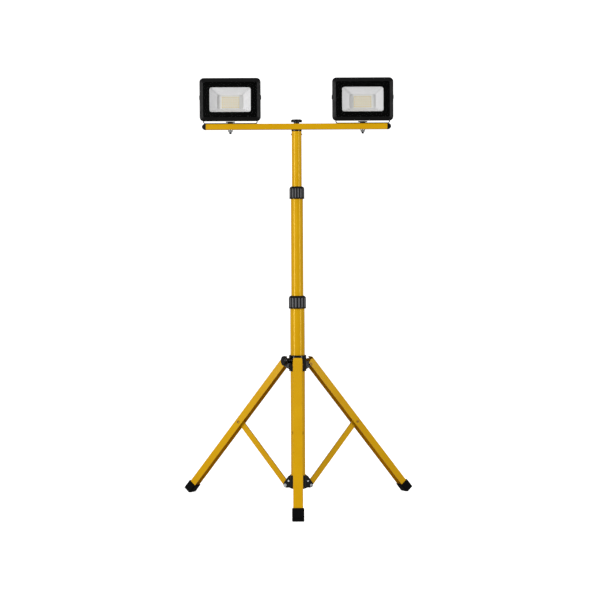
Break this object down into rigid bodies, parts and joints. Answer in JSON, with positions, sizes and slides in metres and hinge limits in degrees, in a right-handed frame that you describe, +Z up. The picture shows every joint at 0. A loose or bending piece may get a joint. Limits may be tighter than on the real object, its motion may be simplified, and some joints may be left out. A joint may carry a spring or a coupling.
{
  "type": "work light",
  "caption": "Work light with slim flood lamps on a crossbar, carried by a telescopic mast that stands on a folding tripod.",
  "frame": {"origin": "on the floor under the mast's axis, at the centre of the circle through the three feet", "axes": "+X along the crossbar, -Y the way the lamps face, +Z up the mast"},
  "size_m": [0.6232, 0.5398, 1.1145],
  "materials": {
    "yellow_paint": "glossy yellow powder coat",
    "black_plastic": "moulded, fine grain",
    "dark_nylon": "moulded nylon",
    "white_nylon": "moulded nylon",
    "zinc_steel": "bright zinc plate",
    "yellow_zinc": "zinc plate with a yellow chromate",
    "black_steel": "black coated steel",
    "black_rubber": "moulded rubber",
    "black_casting": "die cast, black powder coat",
    "front_glass": "toughened glass with a black printed border",
    "white_reflector": "white moulded tray",
    "white_board": "white solder mask on aluminium",
    "phosphor": "pale yellow phosphor",
    "components": "black epoxy"
  },
  "bodies": {
    "mast_base": {"lower_tube": "yellow_paint", "lower_plug": "black_plastic", "lower_collar": "black_plastic", "lower_rivets": "zinc_steel", "lower_collet": "dark_nylon"},
    "lower_lock": {"lower_lock_grip": "black_plastic"},
    "middle_mast": {"mid_tube": "yellow_paint", "mid_bush": "white_nylon", "upper_collet": "dark_nylon"},
    "upper_lock": {"upper_lock_grip": "black_plastic"},
    "top_mast": {"top_tube": "yellow_paint", "top_bush": "white_nylon", "top_plug": "black_plastic", "top_cross_pin": "zinc_steel", "bar_stud": "zinc_steel"},
    "crossbar": {"crossbar": "yellow_paint", "bar_end_caps": "black_plastic", "base_bolt_left": "black_steel", "base_nut_left": "zinc_steel", "base_bolt_right": "black_steel", "base_nut_right": "zinc_steel"},
    "bar_knob": {"bar_knob": "black_plastic"},
    "upper_collar": {"upper_collar": "black_plastic", "upper_rivets": "yellow_zinc"},
    "clamp": {"clamp_screw": "zinc_steel", "clamp_knob": "black_plastic"},
    "leg_front": {"leg_front": "yellow_paint", "foot_front": "black_rubber", "leg_rivet_front": "yellow_zinc"},
    "strut_front": {"strut_front": "yellow_paint"},
    "leg_left": {"leg_left": "yellow_paint", "foot_left": "black_rubber", "leg_rivet_left": "yellow_zinc"},
    "strut_left": {"strut_left": "yellow_paint"},
    "leg_right": {"leg_right": "yellow_paint", "foot_right": "black_rubber", "leg_rivet_right": "yellow_zinc"},
    "strut_right": {"strut_right": "yellow_paint"},
    "bracket_left": {"bracket_left": "black_steel"},
    "head_left": {"housing_left": "black_casting", "gasket_left": "black_rubber", "glass_left": "front_glass", "reflector_left": "white_reflector", "led_board_left": "white_board", "leds_left": "phosphor", "driver_left": "components", "cable_gland_left": "dark_nylon", "pivot_bolts_left": "black_steel"},
    "bracket_right": {"bracket_right": "black_steel"},
    "head_right": {"housing_right": "black_casting", "gasket_right": "black_rubber", "glass_right": "front_glass", "reflector_right": "white_reflector", "led_board_right": "white_board", "leds_right": "phosphor", "driver_right": "components", "cable_gland_right": "dark_nylon", "pivot_bolts_right": "black_steel"}
  },
  "joints": [
    {"name": "fold", "type": "hinge", "parent": "mast_base", "child": "strut_front", "pos_m": [0, -0.034, 0.04], "axis": [-1, 0, 0], "range_deg": [0, 40.1]},
    {"name": "leg_front_on_strut", "type": "hinge", "parent": "strut_front", "child": "leg_front", "pos_m": [0, -0.17836, 0.2015], "axis": [-1, 0, 0], "range_deg": [-80.2, 0]},
    {"name": "collar_on_leg_front", "type": "hinge", "parent": "leg_front", "child": "upper_collar", "pos_m": [0, -0.034, 0.363], "axis": [-1, 0, 0], "range_deg": [0, 40.1]},
    {"name": "leg_left_on_collar", "type": "hinge", "parent": "upper_collar", "child": "leg_left", "pos_m": [-0.02944, 0.017, 0.363], "axis": [0.5, 0.866, 0], "range_deg": [-40.1, 0]},
    {"name": "strut_left_on_leg", "type": "hinge", "parent": "leg_left", "child": "strut_left", "pos_m": [-0.15447, 0.08918, 0.2015], "axis": [0.5, 0.866, 0], "range_deg": [0, 80.2]},
    {"name": "leg_right_on_collar", "type": "hinge", "parent": "upper_collar", "child": "leg_right", "pos_m": [0.02944, 0.017, 0.363], "axis": [0.5, -0.866, 0], "range_deg": [-40.1, 0]},
    {"name": "strut_right_on_leg", "type": "hinge", "parent": "leg_right", "child": "strut_right", "pos_m": [0.15447, 0.08918, 0.2015], "axis": [0.5, -0.866, 0], "range_deg": [0, 80.2]},
    {"name": "clamp_turn", "type": "hinge", "parent": "upper_collar", "child": "clamp", "pos_m": [-0.02598, -0.015, 0.373], "axis": [-0.866, -0.5, 0], "range_deg": [0, 360]},
    {"name": "middle_mast_slide", "type": "slide", "parent": "mast_base", "child": "middle_mast", "axis": [0, 0, 1], "range_m": [-0.245, 0.115]},
    {"name": "top_mast_slide", "type": "slide", "parent": "middle_mast", "child": "top_mast", "axis": [0, 0, 1], "range_m": [-0.125, 0.215]},
    {"name": "lower_lock_turn", "type": "hinge", "parent": "mast_base", "child": "lower_lock", "pos_m": [0, 0, 0.52], "axis": [0, 0, 1], "range_deg": [0, 150]},
    {"name": "upper_lock_turn", "type": "hinge", "parent": "middle_mast", "child": "upper_lock", "pos_m": [0, 0, 0.81], "axis": [0, 0, 1], "range_deg": [0, 150]},
    {"name": "crossbar_swivel", "type": "hinge", "parent": "top_mast", "child": "crossbar", "pos_m": [0, 0, 0.995], "axis": [0, 0, 1], "range_deg": [-180, 180]},
    {"name": "bar_knob_turn", "type": "hinge", "parent": "top_mast", "child": "bar_knob", "pos_m": [0, 0, 0.995], "axis": [0, 0, 1], "range_deg": [0, 360]},
    {"name": "bracket_left_swivel", "type": "hinge", "parent": "crossbar", "child": "bracket_left", "pos_m": [-0.1735, 0, 0.995], "axis": [0, 0, 1], "range_deg": [-90, 90]},
    {"name": "head_left_tilt", "type": "hinge", "parent": "bracket_left", "child": "head_left", "pos_m": [-0.1735, 0, 1.064], "axis": [-1, 0, 0], "range_deg": [0, 120]},
    {"name": "bracket_right_swivel", "type": "hinge", "parent": "crossbar", "child": "bracket_right", "pos_m": [0.1735, 0, 0.995], "axis": [0, 0, 1], "range_deg": [-90, 90]},
    {"name": "head_right_tilt", "type": "hinge", "parent": "bracket_right", "child": "head_right", "pos_m": [0.1735, 0, 1.064], "axis": [-1, 0, 0], "range_deg": [0, 120]}
  ],
  "couplings": [
    {"joint": "leg_front_on_strut", "follows": "fold", "ratio": -2},
    {"joint": "collar_on_leg_front", "follows": "fold", "ratio": 1},
    {"joint": "leg_left_on_collar", "follows": "fold", "ratio": -1},
    {"joint": "strut_left_on_leg", "follows": "fold", "ratio": 2},
    {"joint": "leg_right_on_collar", "follows": "fold", "ratio": -1},
    {"joint": "strut_right_on_leg", "follows": "fold", "ratio": 2}
  ]
}
